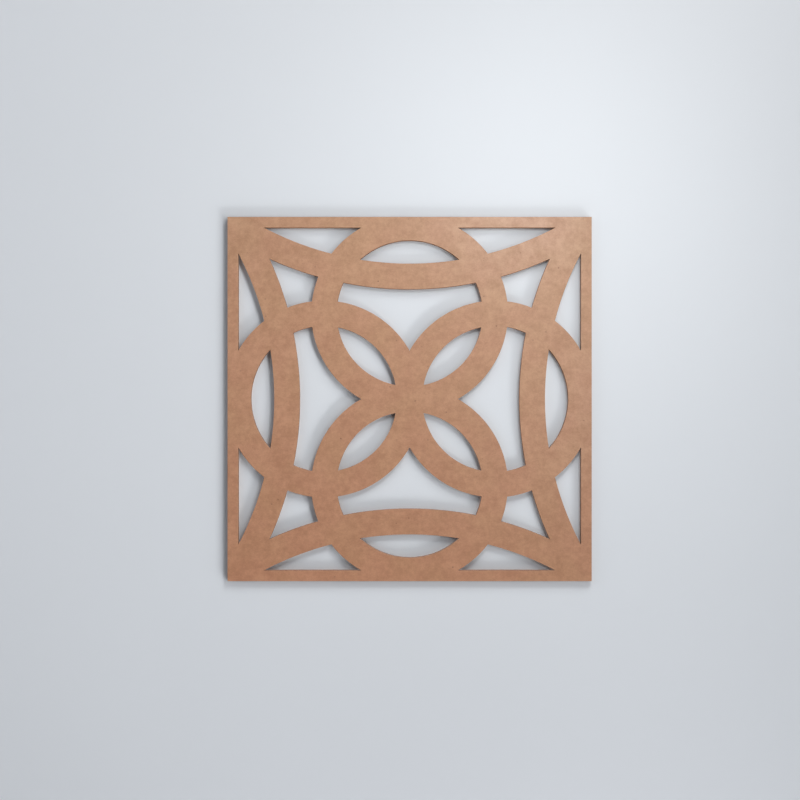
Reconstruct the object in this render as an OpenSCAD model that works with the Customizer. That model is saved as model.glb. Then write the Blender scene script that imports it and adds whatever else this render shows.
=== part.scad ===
// Square fretwork wall panel, cut from one board and hung on two hidden keyhole plates.
// X runs to the viewer's right, Z up, and the front faces -Y.
// The origin is the centre of the back face, which lies flat on the wall at Y = 0.

/* [Board] */
// Side of the square board
panel_w = 390; // [330:1:600]
// Thickness of the board
panel_t = 6.35; // [6:0.05:12]
// Width of the plain border strip
border_w = 11.5; // [8:0.5:20]

/* [Fretwork] */
// Width of the band that makes each of the four rings
ring_band = 27.2; // [22:0.1:36]
// Width of the band that makes each of the four long arcs
arc_band = 27.4; // [25:0.1:36]
// How far each arc bows in from the border's inner edge
arc_bow = 52.2; // [44:0.1:64]

/* [Hanger plates] */
// Height of a keyhole plate, which stands upright
plate_h = 34; // [31:0.5:40]
// Width of a keyhole plate, whose ends are fully round
plate_w = 13; // [12:0.5:16]
// Thickness of a keyhole plate
plate_t = 1.2; // [0.8:0.1:1.5]
// Distance from the board's top edge down to the plate's top end
plate_drop = 7; // [5:0.5:12]
// How far the plate's back lies below the board's back face
plate_sink = 0.1; // [0:0.05:0.3]
// Clearance around the plate in its recess
plate_gap = 0.2; // [0.1:0.05:0.4]
// Radius of the keyhole's entry, for the head of a wall screw
entry_r = 4; // [3.5:0.1:4.4]
// Width of the keyhole's slot, for the shank of a wall screw
slot_w = 3.8; // [3.2:0.1:4.6]
// Rise from the entry's centre to the centre of the slot's closed end
slot_rise = 7.5; // [6:0.1:8.5]

/* [Head pockets] */
// Depth of the pocket in front of each plate, for the head of a wall screw
pocket_d = 2.9; // [2.5:0.1:3.4]
// How far the pocket's wall stands outside the keyhole's entry
pocket_gap = 0.6; // [0.3:0.1:1]

/* [Plate screws] */
// Distance from the plate's end to its screw's centre
screw_inset = 4.5; // [4:0.1:5]
// Radius of the countersunk head
head_r = 2.4; // [2.1:0.05:2.6]
// Height of the countersunk head's cone
head_h = 1.1; // [0.7:0.05:1.2]
// Radius of the screw's shank
shank_r = 1.1; // [0.8:0.05:1.3]
// Length of the whole screw, with its head
screw_l = 4.9; // [4:0.1:5.4]
// Length of the screw's pointed tip
tip_l = 1.4; // [1:0.1:1.8]
// Clearance around the screw in the plate and in its pilot hole
screw_gap = 0.05; // [0.02:0.01:0.1]
// Width of each bar of the cross recess in the head
cross_w = 0.6; // [0.4:0.05:0.8]
// Length of each bar of the cross recess
cross_l = 2.6; // [2:0.1:3]
// Depth of the cross recess
cross_d = 0.8; // [0.5:0.05:0.9]

/* [Hidden] */

$fa = 1;
$fs = 0.2;

mdf_colour = "#b99176";
plate_colour = "#b9bcbf";
screw_colour = "#c3bda6";

// A cut starts this far behind the face that it opens
cut_over = 1;

// Half of the square opening that the border leaves
inner = panel_w / 2 - border_w;
// The rings' centre lines touch the border's inner edge and meet at the panel's centre
ring_c = inner / 2;
ring_r = inner / 2;
// The arcs' centre lines end in the border's inner corners
arc_r = (inner * inner + arc_bow * arc_bow) / (2 * arc_bow);
arc_c = inner - arc_bow + arc_r;

// How far a side arc's centre line stands from the panel's centre, at the height z
function arc_x(z) = arc_c - sqrt(arc_r * arc_r - z * z);

plate_z = panel_w / 2 - plate_drop - plate_h / 2;
plate_end_r = plate_w / 2;
// The plate's lower end is centred on the side arc's band
plate_x = arc_x(plate_z - plate_h / 2 + plate_end_r);
plate_front = plate_sink + plate_t;

// The keyhole is centred between the plate's two screws
keyhole_h = entry_r + slot_rise + slot_w / 2;
entry_z = entry_r - keyhole_h / 2;
slot_z = entry_z + slot_rise;
pocket_r = entry_r + pocket_gap;
screw_z = plate_h / 2 - screw_inset;

// Turns a flat outline upright and gives it a thickness, from one depth behind the front to the next
module upright(from, to) {
    translate([0, -from, 0])
        rotate([90, 0, 0])
            linear_extrude(to - from)
                children();
}

// A cone or shaft that runs forwards from the depth given
module forward(from, length, r_back, r_front) {
    translate([0, -from, 0])
        rotate([90, 0, 0])
            cylinder(h = length, r1 = r_back, r2 = r_front);
}

// An upright strip with round ends, between the two end centres
module round_strip(r, low, high) {
    translate([0, low])
        circle(r);
    translate([0, high])
        circle(r);
    translate([-r, low])
        square([2 * r, high - low]);
}

module band(r, width) {
    difference() {
        circle(r + width / 2);
        circle(r - width / 2);
    }
}

module border() {
    difference() {
        square(panel_w, center = true);
        square(2 * inner, center = true);
    }
}

// The rings and arcs reach into the border and are cut off with it at the board's edges
module fretwork() {
    border();
    intersection() {
        square(panel_w, center = true);
        for (turn = [0:3])
            rotate(90 * turn) {
                translate([0, ring_c])
                    band(ring_r, ring_band);
                translate([0, arc_c])
                    band(arc_r, arc_band);
            }
    }
}

// What is routed and drilled into the back for one plate and its screws
module plate_recess() {
    ends = plate_h / 2 - plate_end_r;
    upright(-cut_over, plate_front)
        round_strip(plate_end_r + plate_gap, -ends, ends);
    upright(0, plate_front + pocket_d)
        round_strip(pocket_r, entry_z, slot_z);
    for (z = [-screw_z, screw_z])
        translate([0, 0, z])
            pilot_hole();
}

module pilot_hole() {
    r = shank_r + screw_gap;
    tip_start = plate_sink + screw_l - tip_l;
    forward(0, tip_start, r, r);
    forward(tip_start, tip_l, r, screw_gap);
}

module fretwork_panel() {
    color(mdf_colour)
        difference() {
            upright(0, panel_t)
                fretwork();
            for (side = [-1, 1])
                translate([side * plate_x, 0, plate_z])
                    plate_recess();
        }
}

module hanger_plate(side) {
    ends = plate_h / 2 - plate_end_r;
    color(plate_colour)
        translate([side * plate_x, 0, plate_z])
            difference() {
                upright(plate_sink, plate_front)
                    difference() {
                        round_strip(plate_end_r, -ends, ends);
                        translate([0, entry_z])
                            circle(entry_r);
                        round_strip(slot_w / 2, entry_z, slot_z);
                    }
                for (z = [-screw_z, screw_z])
                    translate([0, 0, z])
                        screw_seat();
            }
}

// The plate's countersunk hole, which follows the screw's head and shank all round
module screw_seat() {
    shank_hole_r = shank_r + screw_gap;
    head_hole_r = head_r + screw_gap;
    forward(-cut_over, cut_over + plate_sink, head_hole_r, head_hole_r);
    forward(plate_sink, head_h, head_hole_r, shank_hole_r);
    forward(0, plate_front + cut_over, shank_hole_r, shank_hole_r);
}

module plate_screw(side, end) {
    color(screw_colour)
        translate([side * plate_x, 0, plate_z + end * screw_z])
            difference() {
                union() {
                    forward(plate_sink, head_h, head_r, shank_r);
                    forward(plate_sink + head_h, screw_l - head_h - tip_l, shank_r, shank_r);
                    forward(plate_sink + screw_l - tip_l, tip_l, shank_r, 0);
                }
                for (turn = [0, 90])
                    rotate([0, turn, 0])
                        cross_bar();
            }
}

module cross_bar() {
    translate([-cross_l / 2, -plate_sink - cross_d, -cross_w / 2])
        cube([cross_l, cross_d + cut_over, cross_w]);
}

module left_hanger_plate() hanger_plate(-1);
module right_hanger_plate() hanger_plate(1);
module left_plate_top_screw() plate_screw(-1, 1);
module left_plate_bottom_screw() plate_screw(-1, -1);
module right_plate_top_screw() plate_screw(1, 1);
module right_plate_bottom_screw() plate_screw(1, -1);

fretwork_panel();
left_hanger_plate();
right_hanger_plate();
left_plate_top_screw();
left_plate_bottom_screw();
right_plate_top_screw();
right_plate_bottom_screw();
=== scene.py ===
import math
from types import SimpleNamespace

import bpy
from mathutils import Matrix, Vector


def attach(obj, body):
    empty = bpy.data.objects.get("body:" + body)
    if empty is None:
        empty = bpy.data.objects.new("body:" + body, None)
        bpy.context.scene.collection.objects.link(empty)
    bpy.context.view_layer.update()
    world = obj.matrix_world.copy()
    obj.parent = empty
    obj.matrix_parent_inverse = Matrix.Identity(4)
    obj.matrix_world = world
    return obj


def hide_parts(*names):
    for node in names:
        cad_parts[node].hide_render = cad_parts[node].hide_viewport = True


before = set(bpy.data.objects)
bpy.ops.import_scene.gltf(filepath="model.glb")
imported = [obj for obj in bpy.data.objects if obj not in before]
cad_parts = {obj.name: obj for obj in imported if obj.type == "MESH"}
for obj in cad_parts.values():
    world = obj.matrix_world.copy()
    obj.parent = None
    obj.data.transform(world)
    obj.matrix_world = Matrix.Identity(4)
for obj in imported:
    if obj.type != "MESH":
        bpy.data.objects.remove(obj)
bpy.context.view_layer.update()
print("frame loaded:", len(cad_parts), "solids")

scene = bpy.context.scene
scene.view_settings.view_transform = "Standard"


# The camera stands as the photograph's did: square on, a little left of the panel's centre
cameraSetup = {
    "place": (-0.01026, -1.19595, -0.00106),
    "lens": 50,
    "sensor": 36,
    "reach": (0.01, 60),  # the nearest and the farthest that it sees
}


def addCamera():
    data = bpy.data.cameras.new("photoCamera")
    data.lens = cameraSetup["lens"]
    data.sensor_width = cameraSetup["sensor"]
    data.clip_start, data.clip_end = cameraSetup["reach"]
    camera = bpy.data.objects.new("photoCamera", data)
    camera.location = cameraSetup["place"]
    camera.rotation_euler = (math.pi / 2, 0, 0)
    scene.collection.objects.link(camera)
    scene.camera = camera


addCamera()
print("camera placed")


# Small helpers for working on one object at a time

def clearSelection():
    if bpy.context.object and bpy.context.object.mode != "OBJECT":
        bpy.ops.object.mode_set(mode="OBJECT")
    bpy.ops.object.select_all(action="DESELECT")


def makeActive(item):
    clearSelection()
    item.select_set(True)
    bpy.context.view_layer.objects.active = item


def startEdit(item, mode="VERT", select="SELECT"):
    makeActive(item)
    bpy.ops.object.mode_set(mode="EDIT")
    bpy.ops.mesh.select_mode(type=mode)
    bpy.ops.mesh.select_all(action=select)


def endEdit():
    bpy.ops.object.mode_set(mode="OBJECT")


def pick(item, mode, test):
    # leaves the item in edit mode with only the matching points, edges or faces selected
    startEdit(item, mode, "DESELECT")
    endEdit()
    mesh = item.data
    for part in {"VERT": mesh.vertices, "EDGE": mesh.edges, "FACE": mesh.polygons}[mode]:
        part.select = test(part)
    bpy.ops.object.mode_set(mode="EDIT")


def pickFront(item):
    pick(item, "FACE", lambda face: face.normal.y < -0.9)


def isWall(face):
    # neither the front, the back nor the floor of a recess
    return abs(face.normal.y) < 0.5


def pullOut(distance):
    # extrudes whatever is selected, along Y
    bpy.ops.mesh.extrude_region_move(TRANSFORM_OT_translate={"value": (0, distance, 0)})


def resize(x, z, height=0):
    # narrows or widens whatever is selected, round a line along Y at this height
    bpy.ops.transform.resize(value=(x, 1, z), center_override=(0, 0, height))


def settle(item):
    # moves the object's place into its mesh
    makeActive(item)
    bpy.ops.object.transform_apply(location=True, rotation=True, scale=True)


def moveMesh(item, x, y, z):
    item.location = (x, y, z)
    settle(item)
    return item


def mergeAndTurnOut(item, distance=2e-6):
    startEdit(item)
    bpy.ops.mesh.remove_doubles(threshold=distance)
    bpy.ops.mesh.normals_make_consistent(inside=False)
    endEdit()


def applyModifier(item, modifier):
    makeActive(item)
    bpy.ops.object.modifier_apply(modifier=modifier.name)


def combine(item, others, operation):
    # one exact boolean of the item with each of the others, which are used up
    for other in others:
        modifier = item.modifiers.new("combine", "BOOLEAN")
        modifier.operation = operation
        modifier.solver = "EXACT"
        modifier.object = other
        applyModifier(item, modifier)
        bpy.data.objects.remove(other)


def turnedCopy(item, angle):
    # a copy with its own mesh, turned round the Y axis through the panel's centre
    copy = item.copy()
    copy.data = item.data.copy()
    scene.collection.objects.link(copy)
    copy.rotation_euler = (0, angle, 0)
    settle(copy)
    return copy


def smoothFaces(item, angle):
    makeActive(item)
    bpy.ops.object.shade_smooth_by_angle(angle=math.radians(angle))
    modifier = item.modifiers.new("flatFaces", "WEIGHTED_NORMAL")
    modifier.keep_sharp = True
    modifier.weight = 80
    applyModifier(item, modifier)


# The fretwork board: a border, four rings and four long arcs, all cut from one sheet
board = {
    "side": 0.390,
    "thickness": 0.00635,
    "border": 0.0115,
    "ringWidth": 0.0272,
    "arcWidth": 0.0274,
    "arcBow": 0.0522,
    "frontEase": 0.00022,  # the sanded front arris
    "frontEaseSteps": 3,
    "backEase": 0.00014,
    "backEaseSteps": 2,
    "ringSteps": 360,
    "arcSteps": 144,
    # how far each part stands out of the sheet before it is trimmed, all unlike so that no
    # two tops lie level, and how much more for each quarter that a band is turned
    "borderSpare": 0.002,
    "ringSpare": 0.004,
    "arcSpare": 0.009,
    "turnSpare": 0.001,
    "borderOverhang": 0.01,
    "arcOverhang": 0.03,
    "smoothAngle": 50,
}


def boardSizes():
    inner = board["side"] / 2 - board["border"]
    bow = board["arcBow"]
    arcRadius = (inner * inner + bow * bow) / (2 * bow)
    return SimpleNamespace(
        ringCentre=inner / 2,
        ringRadius=inner / 2,
        arcRadius=arcRadius,
        arcCentre=inner - bow + arcRadius,
    )


def bandSection(name, radius, width, centre, spare):
    # lies to the right of the centre that it will be spun round
    thickness = board["thickness"]
    clearSelection()
    bpy.ops.mesh.primitive_plane_add(size=1, location=(radius, -thickness / 2, centre))
    band = bpy.context.object
    band.name = name
    band.scale = (width, thickness + 2 * spare, 1)
    settle(band)
    return band


def ringBand():
    s = boardSizes()
    width, spare = board["ringWidth"], board["ringSpare"]
    ring = bandSection("ringBand", s.ringRadius, width, s.ringCentre, spare)
    startEdit(ring, "FACE")
    bpy.ops.mesh.delete(type="ONLY_FACE")
    bpy.ops.mesh.select_mode(type="EDGE")
    bpy.ops.mesh.select_all(action="SELECT")
    bpy.ops.mesh.spin(
        steps=board["ringSteps"], angle=2 * math.pi, center=(0, 0, s.ringCentre), axis=(0, 1, 0)
    )
    mergeAndTurnOut(ring)
    return ring


def arcBand():
    # spun through just enough of the circle to run out past the board's edges
    s = boardSizes()
    width, spare = board["arcWidth"], board["arcSpare"]
    arc = bandSection("arcBand", s.arcRadius, width, s.arcCentre, spare)
    reach = math.asin((board["side"] / 2 + board["arcOverhang"]) / s.arcRadius)
    for vert in arc.data.vertices:  # from the right of the centre to the arc's left end
        offset = vert.co.x
        vert.co.x = offset * math.cos(-math.pi / 2 - reach)
        vert.co.z = s.arcCentre + offset * math.sin(-math.pi / 2 - reach)
    startEdit(arc, "FACE")
    bpy.ops.mesh.spin(
        steps=board["arcSteps"], angle=2 * reach, center=(0, 0, s.arcCentre), axis=(0, 1, 0)
    )
    mergeAndTurnOut(arc)
    return arc


def stretchedCopy(item, quarter):
    copy = turnedCopy(item, quarter * math.pi / 2)
    middle = -board["thickness"] / 2
    for vert in copy.data.vertices:
        vert.co.y += math.copysign(quarter * board["turnSpare"], vert.co.y - middle)
    return copy


def borderFrame():
    overhang, spare = board["borderOverhang"], board["borderSpare"]
    clearSelection()
    bpy.ops.mesh.primitive_plane_add(
        size=board["side"] + 2 * overhang, location=(0, spare, 0), rotation=(math.pi / 2, 0, 0)
    )
    border = bpy.context.object
    border.name = "borderFrame"
    settle(border)
    startEdit(border, "FACE")
    bpy.ops.mesh.inset(thickness=board["border"] + overhang)
    bpy.ops.mesh.delete(type="FACE")  # the inset leaves the middle selected
    bpy.ops.mesh.select_all(action="SELECT")
    pullOut(-board["thickness"] - 2 * spare)
    endEdit()
    mergeAndTurnOut(border)
    return border


def boardBlank():
    # the plain square sheet that the fretwork is cut from
    thickness = board["thickness"]
    clearSelection()
    bpy.ops.mesh.primitive_cube_add(size=1, location=(0, -thickness / 2, 0))
    blank = bpy.context.object
    blank.name = "boardBlank"
    blank.scale = (board["side"], thickness, board["side"])
    settle(blank)
    return blank


def fretworkShape():
    panel = borderFrame()
    panel.name = "fretworkBoard"
    ring = ringBand()
    arc = arcBand()
    bands = [ring, arc]
    for quarter in (1, 2, 3):
        bands.append(stretchedCopy(ring, quarter))
        bands.append(stretchedCopy(arc, quarter))
    combine(panel, bands, "UNION")
    combine(panel, [boardBlank()], "INTERSECT")
    return panel


# The keyhole hanger plates, and what is routed into the board's back for each of them
hanger = {
    "x": 0.170442,  # the plates stand this far to each side
    "z": 0.171,
    "height": 0.034,
    "width": 0.013,
    "thickness": 0.0012,
    "sunk": 0.0001,  # below the board's back face
    "gap": 0.0002,
    "entryRadius": 0.004,
    "entryDown": 0.0027,  # keyhole entry below the plate's middle
    "slotUp": 0.0048,
    "slotWidth": 0.0038,
    "pocketGap": 0.0006,
    "pocketDepth": 0.0029,
    "screwFromMiddle": 0.0125,
    "ease": 0.00016,  # the rounded rim that pressing and tumbling leave
    "easeSteps": 3,
    "roundSteps": 98,  # twice an odd number, so a flat facet lies on each side
    "entrySteps": 72,
    "slotSteps": 50,
    # where the cutters start and end in depth, each a little unlike so that no ends lie level
    "recessStart": 0.001,
    "pocketStart": -0.0004,
    "entryCut": (0.001, -0.003),
    "slotCut": (0.0013, -0.0033),
    "smoothAngle": 50,
}
hanger["ends"] = (hanger["height"] - hanger["width"]) / 2  # middle to the centre of a round end

screw = {
    "headRadius": 0.0024,
    "headHeight": 0.0011,
    "shankRadius": 0.0011,
    "rootRadius": 0.00082,
    "length": 0.0049,
    "tipLength": 0.0014,
    "headSteps": 48,
    "gap": 0.00005,
    "pilotStart": -0.0005,
    "pilotSteps": 40,
    "pilotTip": 0.05,  # of the pilot hole's own width
    "seatSteps": 64,
    "seatSpare": 0.001,
    "seatClear": 0.0032,  # the plates' rims stay sharp this near to a screw
    "crossWidth": 0.0006,
    "crossLength": 0.0026,
    "crossDepth": 0.0008,
    "crossSpare": 0.0002,
    "crossTaper": (0.52, 0.7),
    "pitch": 0.00062,
    "ridgeHalf": 0.36,  # of the pitch
    "ridgeSunk": 0.00012,  # into the core
    "ridgeSteps": 28,  # in one turn
    "ridgeEnds": (0.0009, 0.0005),  # below the head, and above the point
    "ridgeFade": 0.8,  # how much narrower it is at the point
    "turned": {"left_top": 0, "left_bottom": 17, "right_top": -23, "right_bottom": 38},
    "smoothAngle": 35,
}


def drum(radius, low, high, back, front, steps=None):
    # a disc along Y, stretched upwards from low to high into a round-ended strip
    clearSelection()
    bpy.ops.mesh.primitive_cylinder_add(
        radius=radius, vertices=steps or hanger["roundSteps"], depth=back - front,
        location=(0, (back + front) / 2, low), rotation=(math.pi / 2, 0, 0),
    )
    item = bpy.context.object
    settle(item)
    if high > low:
        pick(item, "VERT", lambda vert: vert.co.z > low)
        bpy.ops.transform.translate(value=(0, 0, high - low))
        endEdit()
    return item


def backCutters(side):
    floor = -hanger["sunk"] - hanger["thickness"]
    cutters = [
        drum(
            hanger["width"] / 2 + hanger["gap"],
            -hanger["ends"], hanger["ends"], hanger["recessStart"], floor,
        ),
        drum(
            hanger["entryRadius"] + hanger["pocketGap"],
            -hanger["entryDown"], hanger["slotUp"],
            hanger["pocketStart"], floor - hanger["pocketDepth"],
        ),
    ]
    hole = screw["shankRadius"] + screw["gap"]
    tipStart = -hanger["sunk"] - screw["length"] + screw["tipLength"]
    for end in (-1, 1):
        place = end * hanger["screwFromMiddle"]
        pilot = drum(hole, place, place, screw["pilotStart"], tipStart, screw["pilotSteps"])
        cutters.append(pilot)
        pickFront(pilot)
        pullOut(-screw["tipLength"])
        resize(screw["pilotTip"], screw["pilotTip"], place)
        endEdit()
    for cutter in cutters:
        moveMesh(cutter, side * hanger["x"], 0, hanger["z"])
    return cutters


def easeRims(item, depth, ease, steps, keep=None):
    # rounds each edge that lies flat at one depth and has a wall beside it, but not those to keep
    mesh = item.data
    wallEdges = set()
    for face in mesh.polygons:
        if isWall(face):
            wallEdges.update(face.edge_keys)

    def isRim(edge):
        first, second = (mesh.vertices[v].co for v in edge.vertices)
        level = abs(first.y - depth) < 1e-6 and abs(second.y - depth) < 1e-6
        return level and edge.key in wallEdges and not (keep and keep(first))

    pick(item, "EDGE", isRim)
    bpy.ops.mesh.bevel(offset=ease, segments=steps, affect="EDGES", clamp_overlap=False)
    endEdit()


def makePanel():
    panel = fretworkShape()
    for side in (-1, 1):
        combine(panel, backCutters(side), "DIFFERENCE")
    mergeAndTurnOut(panel)
    easeRims(panel, -board["thickness"], board["frontEase"], board["frontEaseSteps"])
    easeRims(panel, 0, board["backEase"], board["backEaseSteps"])
    return panel


panel = makePanel()
print("board cut:", len(panel.data.polygons), "faces")


def screwSeat(place):
    # the countersunk hole: straight above the plate, a cone through it, straight below
    radius = screw["headRadius"] + screw["gap"]
    back = -hanger["sunk"]
    seat = drum(radius, place, place, screw["seatSpare"], back, screw["seatSteps"])
    shrink = (screw["shankRadius"] + screw["gap"]) / radius
    pickFront(seat)
    pullOut(-screw["headHeight"])
    resize(shrink, shrink, place)
    pullOut(-screw["seatSpare"])
    endEdit()
    return seat


def makePlate(side, name):
    back = -hanger["sunk"]
    front = back - hanger["thickness"]
    down, up = -hanger["entryDown"], hanger["slotUp"]
    plate = drum(hanger["width"] / 2, -hanger["ends"], hanger["ends"], back, front)
    cutters = [
        drum(hanger["entryRadius"], down, down, *hanger["entryCut"], hanger["entrySteps"]),
        drum(hanger["slotWidth"] / 2, down, up, *hanger["slotCut"], hanger["slotSteps"]),
    ]
    middles = [end * hanger["screwFromMiddle"] for end in (-1, 1)]
    cutters += [screwSeat(place) for place in middles]
    combine(plate, cutters, "DIFFERENCE")
    mergeAndTurnOut(plate)

    def nearScrew(co):
        return min(math.hypot(co.x, co.z - place) for place in middles) < screw["seatClear"]

    for depth in (back, front):
        easeRims(plate, depth, hanger["ease"], hanger["easeSteps"], keep=nearScrew)
    plate.name = name
    return moveMesh(plate, side * hanger["x"], 0, hanger["z"])


plates = {
    "left": makePlate(-1, "leftKeyholePlate"),
    "right": makePlate(1, "rightKeyholePlate"),
}
print("hanger plates pressed")


# The countersunk screws, with a cross recess and a coarse wood thread

def threadRidge(start, end):
    # a three-cornered ridge wound down the core
    clearSelection()
    bpy.ops.mesh.primitive_circle_add(vertices=3, radius=screw["shankRadius"])
    ridge = bpy.context.object
    foot = screw["rootRadius"] - screw["ridgeSunk"]
    half = screw["pitch"] * screw["ridgeHalf"]
    corners = ((foot, half), (foot, -half), (screw["shankRadius"], 0))
    for vert, (reach, along) in zip(ridge.data.vertices, corners):
        vert.co = (reach, start + along, 0)
    turns = (start - end) / screw["pitch"]
    winding = ridge.modifiers.new("winding", "SCREW")
    winding.axis = "Y"
    winding.angle = 2 * math.pi * turns
    winding.screw_offset = end - start
    winding.steps = winding.render_steps = int(screw["ridgeSteps"] * turns)
    winding.use_merge_vertices = False
    applyModifier(ridge, winding)
    startEdit(ridge)
    bpy.ops.mesh.fill_holes(sides=4)
    endEdit()
    mergeAndTurnOut(ridge)
    return ridge


def crossRecess():
    bars = []
    spare, depth = screw["crossSpare"], screw["crossDepth"]
    for turn in (0, math.pi / 2):
        clearSelection()
        bpy.ops.mesh.primitive_cube_add(size=1, location=(0, 0, 0))
        bar = bpy.context.object
        bar.scale = (screw["crossLength"], depth + spare, screw["crossWidth"])
        bar.location = (0, (spare - depth) / 2 - hanger["sunk"], 0)
        settle(bar)
        pickFront(bar)
        resize(*screw["crossTaper"])
        endEdit()
        bar.rotation_euler = (0, turn, 0)
        settle(bar)
        bars.append(bar)
    return bars


def makeScrew():
    # drawn out of one disc, ring after ring, from the head to the point
    back = -hanger["sunk"]
    head, shank, root = screw["headRadius"], screw["shankRadius"], screw["rootRadius"]
    neck, length = screw["headHeight"], screw["length"]
    tipStart = length - screw["tipLength"]
    depth, radius = 0, head - 0.0001
    rings = [  # each one's depth and radius
        (0.00003, head - 0.00002), (0.00009, head),  # the worn rim
        (neck, shank), (neck + 0.0003, shank * 0.97), (neck + 0.0005, root),  # down to the core
        (tipStart, root), (tipStart + 0.0006, root * 0.72),
        (length - 0.0002, 0.00024), (length, 0.00002),  # the blunt point
    ]
    clearSelection()
    bpy.ops.mesh.primitive_circle_add(
        vertices=screw["headSteps"], radius=radius, fill_type="NGON",
        location=(0, back, 0), rotation=(math.pi / 2, 0, 0),
    )
    body = bpy.context.object
    settle(body)
    startEdit(body, "FACE")
    for nextDepth, nextRadius in rings:
        pullOut(depth - nextDepth)
        resize(nextRadius / radius, nextRadius / radius)
        depth, radius = nextDepth, nextRadius
    endEdit()
    mergeAndTurnOut(body)
    belowHead, abovePoint = screw["ridgeEnds"]
    ridge = threadRidge(back - neck - belowHead, back - length + abovePoint)
    for vert in ridge.data.vertices:  # it narrows with the point
        past = (back - tipStart - vert.co.y) / screw["tipLength"]
        if past > 0:
            vert.co.x *= 1 - screw["ridgeFade"] * past
            vert.co.z *= 1 - screw["ridgeFade"] * past
    combine(body, [ridge], "UNION")
    combine(body, crossRecess(), "DIFFERENCE")
    mergeAndTurnOut(body)
    return body


firstScrew = makeScrew()
screws = {}
for sideName, side in (("left", -1), ("right", 1)):
    for endName, end in (("top", 1), ("bottom", -1)):
        place = sideName + "_" + endName
        copy = turnedCopy(firstScrew, math.radians(screw["turned"][place]))
        copy.name = sideName + endName.capitalize() + "PlateScrew"
        moveMesh(copy, side * hanger["x"], 0, hanger["z"] + end * hanger["screwFromMiddle"])
        screws[place] = copy
bpy.data.objects.remove(firstScrew)
print("screws turned")


# Building blocks for the materials

def addNode(tree, kind, values=None, **settings):
    item = tree.nodes.new(kind)
    for key, value in settings.items():
        setattr(item, key, value)
    for key, value in (values or {}).items():
        item.inputs[key].default_value = value
    return item


def connect(tree, source, target):
    tree.links.new(source, target)


def mathNode(tree, operation, first, second=None, clamp=False):
    # each input is a socket or a number
    item = addNode(tree, "ShaderNodeMath", operation=operation, use_clamp=clamp)
    for slot, value in enumerate((first, second)):
        if hasattr(value, "is_linked"):
            connect(tree, value, item.inputs[slot])
        elif value is not None:
            item.inputs[slot].default_value = value
    return item.outputs[0]


def plus(tree, first, second, clamp=False):
    return mathNode(tree, "ADD", first, second, clamp)


def times(tree, first, second, clamp=False):
    return mathNode(tree, "MULTIPLY", first, second, clamp)


def swing(tree, pattern, amount):
    # how far a pattern lies from its middle, made larger or smaller
    return times(tree, mathNode(tree, "SUBTRACT", pattern, 0.5), amount)


def remap(tree, source, low, high, newLow=0.0, newHigh=1.0, smooth=True):
    kind = "SMOOTHSTEP" if smooth else "LINEAR"
    item = addNode(tree, "ShaderNodeMapRange", interpolation_type=kind)
    connect(tree, source, item.inputs["Value"])
    ends = (("From Min", low), ("From Max", high), ("To Min", newLow), ("To Max", newHigh))
    for key, value in ends:
        item.inputs[key].default_value = value
    return item.outputs["Result"]


def noise(tree, vector, scale, detail=2.0, roughness=0.5):
    values = {"Scale": scale, "Detail": detail, "Roughness": roughness}
    item = addNode(tree, "ShaderNodeTexNoise", values)
    connect(tree, vector, item.inputs["Vector"])
    return item.outputs["Fac"]


def stretch(tree, vector, scale, turn=(0, 0, 0)):
    item = addNode(tree, "ShaderNodeMapping", {"Scale": scale, "Rotation": turn})
    connect(tree, vector, item.inputs["Vector"])
    return item.outputs["Vector"]


def splitPlace(tree, vector):
    item = addNode(tree, "ShaderNodeSeparateXYZ")
    connect(tree, vector, item.inputs[0])
    return item.outputs


def mixColours(tree, share, first, second, blend="MIX"):
    # share, first and second are sockets, numbers or colours
    item = addNode(tree, "ShaderNodeMix", data_type="RGBA", blend_type=blend)
    for slot, value in ((0, share), (6, first), (7, second)):
        if hasattr(value, "is_linked"):
            connect(tree, value, item.inputs[slot])
        else:
            item.inputs[slot].default_value = value if slot == 0 else (*value, 1)
    return item.outputs[2]


def newGroup(name, inputs, outputs):
    # inputs gives the usual value of each; the place that the patterns are read at comes first
    tree = bpy.data.node_groups.new(name, "ShaderNodeTree")
    tree.interface.new_socket("Vector", in_out="INPUT", socket_type="NodeSocketVector")
    for socket, value in inputs.items():
        made = tree.interface.new_socket(socket, in_out="INPUT", socket_type="NodeSocketFloat")
        made.default_value = value
    for socket in outputs:
        tree.interface.new_socket(socket, in_out="OUTPUT", socket_type="NodeSocketFloat")
    entry = addNode(tree, "NodeGroupInput")
    leaving = addNode(tree, "NodeGroupOutput")
    return tree, entry.outputs, leaving.inputs


# Pressed wood fibre: soft blotches, fine strands lying mostly level, and a few dark flecks
fibre = {
    "wide": (75, 2, 0.5),  # each pattern's scale, detail and roughness
    "blotch": (230, 5, 0.72),
    "strand": (900, 3, 0.65),
    "hair": (3200, 2, 0.6),
    "wideSwing": 1.3,
    "blotchSwing": 2.5,
    "strandSwing": 1.0,
    "hairSwing": 0.6,
    "blotchStretch": (0.9, 1, 1),
    "strandStretch": (0.7, 1, 1.3),
    "hairStretch": (0.4, 1, 1.3),
    "hairTurn": (0, 0.5, 0),
    "fleckScale": 150,
    "fleckReach": (0.07, 0.18),  # the smallest and the largest
    "fleckEdge": 1.8,
    "fleckShare": (0.66, 1.0, 0, 0.85),  # below the first there is none, and then they deepen
    "strandRelief": 0.6,
    "hairRelief": 0.5,
    "fleckRelief": 0.5,
}


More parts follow.
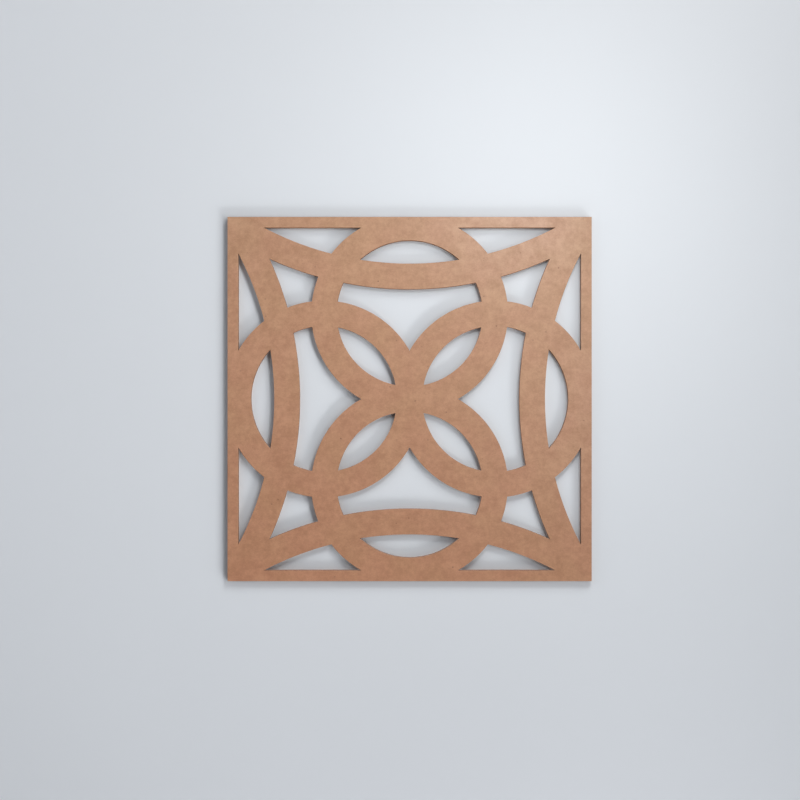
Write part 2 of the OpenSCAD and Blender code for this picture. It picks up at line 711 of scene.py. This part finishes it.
def makeFibreMottle():
    tree, given, made = newGroup(
        "fibreMottle", {"Blotches": 1.0, "Strands": 1.0, "Flecks": 1.0}, ("Tone", "Fleck", "Height")
    )
    place = given["Vector"]
    level = stretch(tree, place, fibre["blotchStretch"])
    wide = swing(tree, noise(tree, level, *fibre["wide"]), fibre["wideSwing"])
    blotch = swing(tree, noise(tree, level, *fibre["blotch"]), fibre["blotchSwing"])
    soft = times(tree, plus(tree, wide, blotch), given["Blotches"])
    strand = noise(tree, stretch(tree, place, fibre["strandStretch"]), *fibre["strand"])
    turned = stretch(tree, place, fibre["hairStretch"], fibre["hairTurn"])
    hair = noise(tree, turned, *fibre["hair"])
    coarse = swing(tree, strand, fibre["strandSwing"])
    finest = swing(tree, hair, fibre["hairSwing"])
    fine = times(tree, plus(tree, coarse, finest), given["Strands"])
    tone = plus(tree, plus(tree, soft, fine), 0.5, clamp=True)

    values = {"Scale": fibre["fleckScale"], "Randomness": 1.0}
    cells = addNode(tree, "ShaderNodeTexVoronoi", values)
    connect(tree, place, cells.inputs["Vector"])
    chance = addNode(tree, "ShaderNodeSeparateColor")
    connect(tree, cells.outputs["Color"], chance.inputs["Color"])
    reach = remap(tree, chance.outputs["Green"], 0, 1, *fibre["fleckReach"], smooth=False)
    away = mathNode(tree, "DIVIDE", cells.outputs["Distance"], reach)
    near = mathNode(tree, "SUBTRACT", 1.0, away, clamp=True)
    near = times(tree, near, fibre["fleckEdge"], clamp=True)
    chosen = remap(tree, chance.outputs["Red"], *fibre["fleckShare"], smooth=False)
    fleck = times(tree, times(tree, near, chosen), given["Flecks"], clamp=True)

    strandHeight = times(tree, strand, fibre["strandRelief"])
    height = plus(tree, strandHeight, times(tree, hair, fibre["hairRelief"]))
    height = mathNode(tree, "SUBTRACT", height, times(tree, fleck, fibre["fleckRelief"]))
    connect(tree, tone, made["Tone"])
    connect(tree, fleck, made["Fleck"])
    connect(tree, height, made["Height"])
    return tree


# A pale, patchy film of dust on whatever faces up
dustFilm = {
    "slope": (0.35, 0.95),  # none below the first, and all of it above the second
    "patches": (340, 4, 0.7),
    "patchEnds": (0.3, 0.7, 0.35, 1.0),
}


def makeSettledDust():
    tree, given, made = newGroup("settledDust", {"Amount": 0.5}, ("Dust",))
    facing = addNode(tree, "ShaderNodeNewGeometry").outputs["Normal"]
    up = remap(tree, splitPlace(tree, facing)["Z"], *dustFilm["slope"])
    patchy = noise(tree, given["Vector"], *dustFilm["patches"])
    patchy = remap(tree, patchy, *dustFilm["patchEnds"])
    dust = times(tree, times(tree, up, patchy), given["Amount"], clamp=True)
    connect(tree, dust, made["Dust"])
    return tree


# Cloudy plating with hairline scratches
rubbing = {
    "clouds": (260, 4, 0.6),
    "grain": (2600, 3, 0.7),
    "grainShare": 0.5,
    "grainRelief": 0.4,
    "lineStretch": (0.03, 0.5, 1),
    "lines": ((0.35, 1500, 0.66), (-0.9, 1900, 0.68), (1.9, 1300, 0.68)),  # turn, scale, rarity
    "lineEdge": 0.05,
}


def makeRubbedMetal():
    tree, given, made = newGroup(
        "rubbedMetal", {"Clouds": 1.0, "Scratches": 1.0}, ("Shade", "Scratch", "Height")
    )
    place = given["Vector"]
    cloud = noise(tree, place, *rubbing["clouds"])
    grain = noise(tree, place, *rubbing["grain"])
    scratch = 0.0
    for turn, scale, rarity in rubbing["lines"]:
        turned = stretch(tree, place, rubbing["lineStretch"], (0, turn, 0))
        drawn = noise(tree, turned, scale, 1)
        line = remap(tree, drawn, rarity, rarity + rubbing["lineEdge"])
        scratch = mathNode(tree, "MAXIMUM", line, scratch)
    scratch = times(tree, scratch, given["Scratches"], clamp=True)
    shade = plus(tree, swing(tree, cloud, 1.0), swing(tree, grain, rubbing["grainShare"]))
    shade = plus(tree, times(tree, shade, given["Clouds"]), 0.5, clamp=True)
    height = mathNode(tree, "SUBTRACT", times(tree, grain, rubbing["grainRelief"]), scratch)
    connect(tree, shade, made["Shade"])
    connect(tree, scratch, made["Scratch"])
    connect(tree, height, made["Height"])
    return tree


fibreMottle = makeFibreMottle()
settledDust = makeSettledDust()
rubbedMetal = makeRubbedMetal()


def useGroup(tree, group, vector, values):
    item = addNode(tree, "ShaderNodeGroup", values, node_tree=group)
    connect(tree, vector, item.inputs["Vector"])
    return item.outputs


def newMaterial(name, **constants):
    material = bpy.data.materials.new(name)
    material.use_nodes = True
    tree = material.node_tree
    shader = tree.nodes["Principled BSDF"]
    for key, value in constants.items():
        shader.inputs[key.replace("_", " ")].default_value = value
    place = addNode(tree, "ShaderNodeTexCoord").outputs["Object"]
    return material, tree, shader, place


def addBump(tree, shader, height, strength, distance):
    bump = addNode(tree, "ShaderNodeBump", {"Strength": strength, "Distance": distance})
    connect(tree, height, bump.inputs["Height"])
    connect(tree, bump.outputs["Normal"], shader.inputs["Normal"])


def addDust(tree, place, colour, finish):
    dust = useGroup(tree, settledDust, place, {"Amount": finish["dustAmount"]})["Dust"]
    return dust, mixColours(tree, dust, colour, finish["dust"])


# Raw board: the pressed face, the cut edge and the routed pockets
boardFace = {
    "dark": (0.407, 0.2065, 0.118),
    "light": (0.528, 0.288, 0.1747),
    "fleck": (0.17, 0.070, 0.040),
    "rosy": (1.01, 0.985, 1.0),  # the board's colour wanders between these two
    "tawny": (0.995, 1.01, 0.99),
    "wandering": (24, 2),
    "wanderEnds": (0.3, 0.7),
    # painted light: the colour shifts towards the right and the top, less red and less saturated
    # where the light falls brightest, and redder towards the bottom left
    "paintedLightDrift": (("X", (0.958, 0.977, 0.982)), ("Z", (0.957, 1.014, 1.038))),
    "mottle": {"Blotches": 1.0, "Strands": 1.0, "Flecks": 1.0},
    "dust": (0.46, 0.40, 0.34),
    "dustAmount": 0.12,
    "roughness": (0.2, 0.8, 0.46, 0.38),  # for a dark and a light tone
    "relief": (0.12, 0.00006),  # strength and depth
}


def makeFaceMaterial():
    material, tree, shader, place = newMaterial("boardFace", IOR=1.5)
    mottle = useGroup(tree, fibreMottle, place, boardFace["mottle"])
    colour = mixColours(tree, mottle["Tone"], boardFace["dark"], boardFace["light"])
    wander = remap(tree, noise(tree, place, *boardFace["wandering"]), *boardFace["wanderEnds"])
    wander = mixColours(tree, wander, boardFace["rosy"], boardFace["tawny"])
    colour = mixColours(tree, 1.0, colour, wander, blend="MULTIPLY")
    parts = splitPlace(tree, place)
    half = board["side"] / 2
    # painted light: the colour shifts across the board as the light falls on it
    for axis, tint in boardFace["paintedLightDrift"]:
        share = remap(tree, parts[axis], -half, half, smooth=False)
        tinted = mixColours(tree, share, tuple(1 / c for c in tint), tint)
        colour = mixColours(tree, 1.0, colour, tinted, blend="MULTIPLY")
    colour = mixColours(tree, mottle["Fleck"], colour, boardFace["fleck"])
    dust, colour = addDust(tree, place, colour, boardFace)
    connect(tree, colour, shader.inputs["Base Color"])
    rough = remap(tree, mottle["Tone"], *boardFace["roughness"])
    connect(tree, rough, shader.inputs["Roughness"])
    addBump(tree, shader, mottle["Height"], *boardFace["relief"])
    return material


# The saw and cutter leave a fuzzy core between two hard, darker skins, with marks across it
cutEdge = {
    "skin": (0.195, 0.095, 0.053),
    "core": (0.275, 0.146, 0.086),
    "dark": (0.120, 0.057, 0.031),
    "skinDepth": (0.0002, 0.0009),  # the skin gives way to the core between these
    "ragged": 0.0006,
    "raggedness": (900, 2),
    "mottle": {"Blotches": 0.7, "Strands": 1.6, "Flecks": 1.0},
    "marks": (1500, 2, 0.6),
    "markStretch": (1, 0.06, 1),
    "layers": (2400, 3, 0.6),
    "layerStretch": (0.05, 1, 0.05),
    "markShare": 0.3,
    "layerShare": 0.3,
    "toneShare": 0.4,
    "darkening": (0.62, 0.38, 0, 0.55),
    "dust": (0.40, 0.34, 0.29),
    "dustAmount": 0.12,
    "roughness": (0, 1, 0.75, 0.95),  # for the skin and the core
    "markRelief": 0.8,
    "relief": (0.35, 0.00012),
}


def makeCutMaterial():
    material, tree, shader, place = newMaterial(
        "boardCutEdge", IOR=1.45, Specular_IOR_Level=0.12
    )
    half = board["thickness"] / 2
    middle = plus(tree, splitPlace(tree, place)["Y"], half)
    fromFace = mathNode(tree, "SUBTRACT", half, mathNode(tree, "ABSOLUTE", middle))
    ragged = swing(tree, noise(tree, place, *cutEdge["raggedness"]), cutEdge["ragged"])
    core = remap(tree, plus(tree, fromFace, ragged), *cutEdge["skinDepth"])
    mottle = useGroup(tree, fibreMottle, place, cutEdge["mottle"])
    marks = noise(tree, stretch(tree, place, cutEdge["markStretch"]), *cutEdge["marks"])
    layers = noise(tree, stretch(tree, place, cutEdge["layerStretch"]), *cutEdge["layers"])
    colour = mixColours(tree, core, cutEdge["skin"], cutEdge["core"])
    shade = times(tree, marks, cutEdge["markShare"])
    shade = plus(tree, shade, times(tree, layers, cutEdge["layerShare"]))
    shade = plus(tree, shade, times(tree, mottle["Tone"], cutEdge["toneShare"]))
    darkness = remap(tree, shade, *cutEdge["darkening"])
    colour = mixColours(tree, darkness, colour, cutEdge["dark"])
    dust, colour = addDust(tree, place, colour, cutEdge)
    connect(tree, colour, shader.inputs["Base Color"])
    connect(tree, remap(tree, core, *cutEdge["roughness"]), shader.inputs["Roughness"])
    height = plus(tree, times(tree, marks, cutEdge["markRelief"]), mottle["Height"])
    addBump(tree, shader, height, *cutEdge["relief"])
    return material


# Routed floors: rings left by the cutter over rough fibre
pocketFinish = {
    "base": (0.300, 0.160, 0.092),
    "dark": (0.170, 0.085, 0.048),
    "mottle": {"Blotches": 0.8, "Strands": 1.8, "Flecks": 1.0},
    "sweeps": {"Scale": 260, "Distortion": 1.2, "Detail": 2, "Detail Scale": 3},
    "sweepOffset": (0.0018, -0.004),  # of their middle from the plate's
    "sweepShare": 0.25,
    "toneShare": 0.75,
    "lightening": (0.25, 0.75),
    "roughness": (0.2, 0.8, 0.9, 0.75),
    "sweepRelief": 0.6,
    "relief": (0.4, 0.0001),
}


def makePocketMaterial():
    material, tree, shader, place = newMaterial("boardPocket", IOR=1.45)
    mottle = useGroup(tree, fibreMottle, place, pocketFinish["mottle"])
    spot = addNode(tree, "ShaderNodeVectorMath", operation="ABSOLUTE")
    connect(tree, place, spot.inputs[0])
    across, up = pocketFinish["sweepOffset"]
    start = (-hanger["x"] - across, 0, -hanger["z"] - up)
    shift = addNode(tree, "ShaderNodeMapping", {"Location": start})
    connect(tree, spot.outputs[0], shift.inputs["Vector"])
    sweep = addNode(
        tree, "ShaderNodeTexWave", pocketFinish["sweeps"],
        wave_type="RINGS", rings_direction="Y",
    )
    connect(tree, shift.outputs["Vector"], sweep.inputs["Vector"])
    swept = sweep.outputs["Fac"]
    shade = times(tree, swept, pocketFinish["sweepShare"])
    shade = plus(tree, shade, times(tree, mottle["Tone"], pocketFinish["toneShare"]))
    lightness = remap(tree, shade, *pocketFinish["lightening"])
    colour = mixColours(tree, lightness, pocketFinish["dark"], pocketFinish["base"])
    connect(tree, colour, shader.inputs["Base Color"])
    rough = remap(tree, mottle["Tone"], *pocketFinish["roughness"])
    connect(tree, rough, shader.inputs["Roughness"])
    height = plus(tree, times(tree, swept, pocketFinish["sweepRelief"]), mottle["Height"])
    addBump(tree, shader, height, *pocketFinish["relief"])
    return material


def dressPanel():
    for material in (makeFaceMaterial(), makeCutMaterial(), makePocketMaterial()):
        panel.data.materials.append(material)
    reach = hanger["width"] / 2 + hanger["gap"] + 1e-5
    for face in panel.data.polygons:
        x, y, z = face.center
        across = abs(abs(x) - hanger["x"])
        along = max(0, abs(z - hanger["z"]) - hanger["ends"])
        inside = -board["thickness"] + 0.0001 < y < -0.0002  # between the two faces
        if inside and math.hypot(across, along) < reach:
            face.material_index = 2
        elif isWall(face):
            face.material_index = 1


dressPanel()
print("board dressed")


# Plated steel for the plates and their screws
zincFinish = {
    "bright": (0.66, 0.67, 0.69),
    "dull": (0.50, 0.515, 0.54),
    "roughness": 0.36,
    "rubbing": {"Clouds": 1.0, "Scratches": 0.8},
}
screwFinish = {
    "bright": (0.70, 0.60, 0.41),
    "dull": (0.53, 0.44, 0.28),
    "roughness": 0.30,
    "rubbing": {"Clouds": 1.2, "Scratches": 0.5},
}
metalWear = {
    "scratch": (0.80, 0.80, 0.80),
    "scratchShare": 0.5,
    "dust": (0.42, 0.38, 0.33),
    "dustAmount": 0.25,
    "colourEnds": (0.3, 0.7),
    "roughEnds": (0.25, 0.75),
    "duller": 0.09,  # in roughness, where the plating is dark
    "glossier": 0.06,  # where it is bright
    "scratchGloss": -0.08,
    "dustDullness": 0.4,
    "relief": (0.2, 0.00002),
}


def makeMetalMaterial(name, finish):
    material, tree, shader, place = newMaterial(name, Metallic=1.0)
    rubbed = useGroup(tree, rubbedMetal, place, finish["rubbing"])
    lightness = remap(tree, rubbed["Shade"], *metalWear["colourEnds"])
    colour = mixColours(tree, lightness, finish["dull"], finish["bright"])
    scratched = times(tree, rubbed["Scratch"], metalWear["scratchShare"])
    colour = mixColours(tree, scratched, colour, metalWear["scratch"])
    dust, colour = addDust(tree, place, colour, metalWear)
    connect(tree, colour, shader.inputs["Base Color"])
    dull = finish["roughness"] + metalWear["duller"]
    glossy = finish["roughness"] - metalWear["glossier"]
    rough = remap(tree, rubbed["Shade"], *metalWear["roughEnds"], dull, glossy)
    rough = plus(tree, rough, times(tree, rubbed["Scratch"], metalWear["scratchGloss"]))
    rough = plus(tree, rough, times(tree, dust, metalWear["dustDullness"]))
    connect(tree, rough, shader.inputs["Roughness"])
    addBump(tree, shader, rubbed["Height"], *metalWear["relief"])
    return material


zincPlate = makeMetalMaterial("zincPlate", zincFinish)
screwSteel = makeMetalMaterial("screwSteel", screwFinish)
for plate in plates.values():
    plate.data.materials.append(zincPlate)
for item in screws.values():
    item.data.materials.append(screwSteel)
print("metal dressed")


# Every piece is smoothed and tied to the panel's body, and the solid it stands for is hidden

def hand(item, node, angle):
    smoothFaces(item, angle)
    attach(item, "root")
    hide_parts(node)


hand(panel, "fretwork_panel", board["smoothAngle"])
for sideName, plate in plates.items():
    hand(plate, sideName + "_hanger_plate", hanger["smoothAngle"])
for place, item in screws.items():
    sideName, endName = place.split("_")
    hand(item, f"{sideName}_plate_{endName}_screw", screw["smoothAngle"])
print("pieces handed over:", len(plates) + len(screws) + 1)


# Wall, floor and sky, which aren't part of the object
room = {
    "wallSize": 8,
    "wallGap": 0.0003,  # behind the board, for the paint's own unevenness
    "wallColour": (0.718, 0.742, 0.782),
    "wallTone": 0.012,  # how far the paint's colour strays either way
    "wallPattern": (3, 2),
    # painted light and shade: how much paler or deeper the wall's paint grows towards each side of
    # the picture, standing in for how the light falls across it
    "wallPaintedLight": (
        ("X", -0.43, 1.10), ("X", 0.43, 1.03), ("Z", -0.43, 1.075), ("Z", 0.43, 0.94),
    ),
    "driftStart": -0.28,  # a little past the middle, as a share of the way to the edge
    "wallGrain": (700, 3, 0.6),
    "wallRelief": (0.05, 0.0002),
    "touching": 0.0015,  # bounced light this close goes through, so the board's back isn't shaded
    "floorHeight": -2.6,
    "floorRadius": 45,
    "floorSteps": 120,
    "floorColour": (0.72, 0.72, 0.71),
    "floorTone": 0.98,
    "floorPattern": (2, 3),
    "floorGlow": 0.85,  # for the camera alone
    "skyColour": (0.80, 0.825, 0.86),
    "skyTint": (0.56, 0.80, 1.10),  # the little that it adds in the shadows
    "skyForGloss": 0.8,
    "skyForSurfaces": 0.02,
}


def makeWallMaterial():
    # seen from the front it is painted plaster; from behind it lets the view and the lamp through
    material, tree, shader, place = newMaterial(
        "paintedWall", Roughness=1, Specular_IOR_Level=0
    )
    pale = tuple(c * (1 + room["wallTone"]) for c in room["wallColour"])
    deep = tuple(c * (1 - room["wallTone"]) for c in room["wallColour"])
    paint = mixColours(tree, noise(tree, place, *room["wallPattern"]), deep, pale)
    parts = splitPlace(tree, place)
    # painted light and shade: the paint grows paler or deeper towards each side
    level = 1.0
    for axis, edge, change in room["wallPaintedLight"]:
        side = remap(tree, parts[axis], room["driftStart"] * edge, edge, 1, change)
        level = times(tree, side, level)
    paint = mixColours(tree, 1.0, paint, level, blend="MULTIPLY")
    connect(tree, paint, shader.inputs["Base Color"])
    addBump(tree, shader, noise(tree, place, *room["wallGrain"]), *room["wallRelief"])

    behind = addNode(tree, "ShaderNodeNewGeometry").outputs["Backfacing"]
    path = addNode(tree, "ShaderNodeLightPath").outputs
    bounced = mathNode(tree, "MAXIMUM", path["Is Diffuse Ray"], path["Is Glossy Ray"])
    close = mathNode(tree, "LESS_THAN", path["Ray Length"], room["touching"])
    through = mathNode(tree, "MAXIMUM", behind, path["Is Shadow Ray"])
    through = mathNode(tree, "MAXIMUM", through, times(tree, bounced, close))
    clear = addNode(tree, "ShaderNodeBsdfTransparent")
    choice = addNode(tree, "ShaderNodeMixShader")
    connect(tree, through, choice.inputs["Fac"])
    connect(tree, shader.outputs[0], choice.inputs[1])
    connect(tree, clear.outputs[0], choice.inputs[2])
    connect(tree, choice.outputs[0], tree.nodes["Material Output"].inputs["Surface"])
    return material


def makeFloorMaterial():
    # pale wherever the camera looks, and plain matt plaster to every other ray
    material, tree, shader, place = newMaterial("paleFloor", Roughness=0.75)
    colour = room["floorColour"]
    deep = tuple(c * room["floorTone"] for c in colour)
    shade = mixColours(tree, noise(tree, place, *room["floorPattern"]), deep, colour)
    connect(tree, shade, shader.inputs["Base Color"])
    connect(tree, shade, shader.inputs["Emission Color"])
    seen = addNode(tree, "ShaderNodeLightPath").outputs["Is Camera Ray"]
    connect(tree, times(tree, seen, room["floorGlow"]), shader.inputs["Emission Strength"])
    return material


def addRoom():
    clearSelection()
    bpy.ops.mesh.primitive_plane_add(
        size=room["wallSize"], rotation=(math.pi / 2, 0, 0),
        location=(0, room["wallGap"], room["floorHeight"] + room["wallSize"] / 2),
    )
    wall = bpy.context.object
    wall.name = "wall"
    settle(wall)
    wall.data.materials.append(makeWallMaterial())
    clearSelection()
    bpy.ops.mesh.primitive_circle_add(
        vertices=room["floorSteps"], radius=room["floorRadius"], fill_type="NGON",
        location=(0, 0, room["floorHeight"]),
    )
    floor = bpy.context.object
    floor.name = "floor"
    settle(floor)
    floor.data.materials.append(makeFloorMaterial())


addRoom()
print("wall and floor placed")


# Light: soft lamps in front, a dim sky, and one lamp behind for the panel's back
lamps = {  # place, width, watts and tint
    "highRight": ((0.428, -0.743, 1.117), 0.70, 7.43, (1.0, 0.99, 0.97)),
    "nearRight": ((0.157, -0.412, 0.292), 0.17, 0.795, (0.99, 1.0, 0.985)),
    "farRight": ((2.875, -1.738, -0.983), 2.94, 28.7, (0.985, 1.0, 0.995)),
    "lowRight": ((1.730, -1.137, -1.886), 0.56, 23.35, (0.99, 1.0, 0.99)),
    "lowMiddle": ((0.265, -0.438, -1.046), 0.12, 1.10, (0.96, 0.965, 1.0)),
    "lowest": ((0.137, -0.261, -1.009), 0.17, 0.61, (1.0, 0.96, 0.985)),
    "highLeft": ((-0.823, -0.729, 0.481), 1.03, 2.36, (0.965, 0.98, 1.0)),
    "farLeft": ((-2.0, -0.9, 0.3), 1.0, 3.05, (0.99, 0.96, 0.98)),
    "front": ((0.35, -0.60, 0.0), 0.15, 0.565, (0.94, 0.975, 1.0)),
    "behind": ((0.0, 6.0, 0.3), 0.5, 260.0, (1, 1, 1)),
}
steadyLamps = ("farRight", "lowRight", "front")  # these don't fade with distance


def addLamp(name, place, width, watts, tint):
    data = bpy.data.lights.new(name, "AREA")
    data.shape = "DISK"
    data.size = width
    data.energy = watts
    data.color = tint
    item = bpy.data.objects.new(name, data)
    item.location = place
    item.rotation_euler = (-Vector(place)).to_track_quat("-Z", "Y").to_euler()
    item.visible_camera = False
    if name in steadyLamps:
        data.use_nodes = True
        tree = data.node_tree
        reach = Vector(place).length
        fade = addNode(tree, "ShaderNodeLightFalloff", {"Strength": 1 / reach ** 2})
        connect(tree, fade.outputs["Constant"], tree.nodes["Emission"].inputs["Strength"])
    scene.collection.objects.link(item)


def addSky():
    world = bpy.data.worlds.new("softSky")
    scene.world = world
    world.use_nodes = True
    tree = world.node_tree
    background = tree.nodes["Background"]
    path = addNode(tree, "ShaderNodeLightPath").outputs
    direct = mathNode(tree, "MAXIMUM", path["Is Camera Ray"], path["Is Transmission Ray"])
    glossy = times(tree, path["Is Glossy Ray"], room["skyForGloss"])
    seen = mathNode(tree, "MAXIMUM", direct, glossy)
    plain = mathNode(tree, "GREATER_THAN", seen, 0.0)
    colour = mixColours(tree, plain, room["skyTint"], room["skyColour"])
    connect(tree, colour, background.inputs["Color"])
    strength = mathNode(tree, "MAXIMUM", seen, room["skyForSurfaces"])
    connect(tree, strength, background.inputs["Strength"])


for lampName, lamp in lamps.items():
    addLamp(lampName, *lamp)
addSky()
print("lamps lit:", len(lamps))
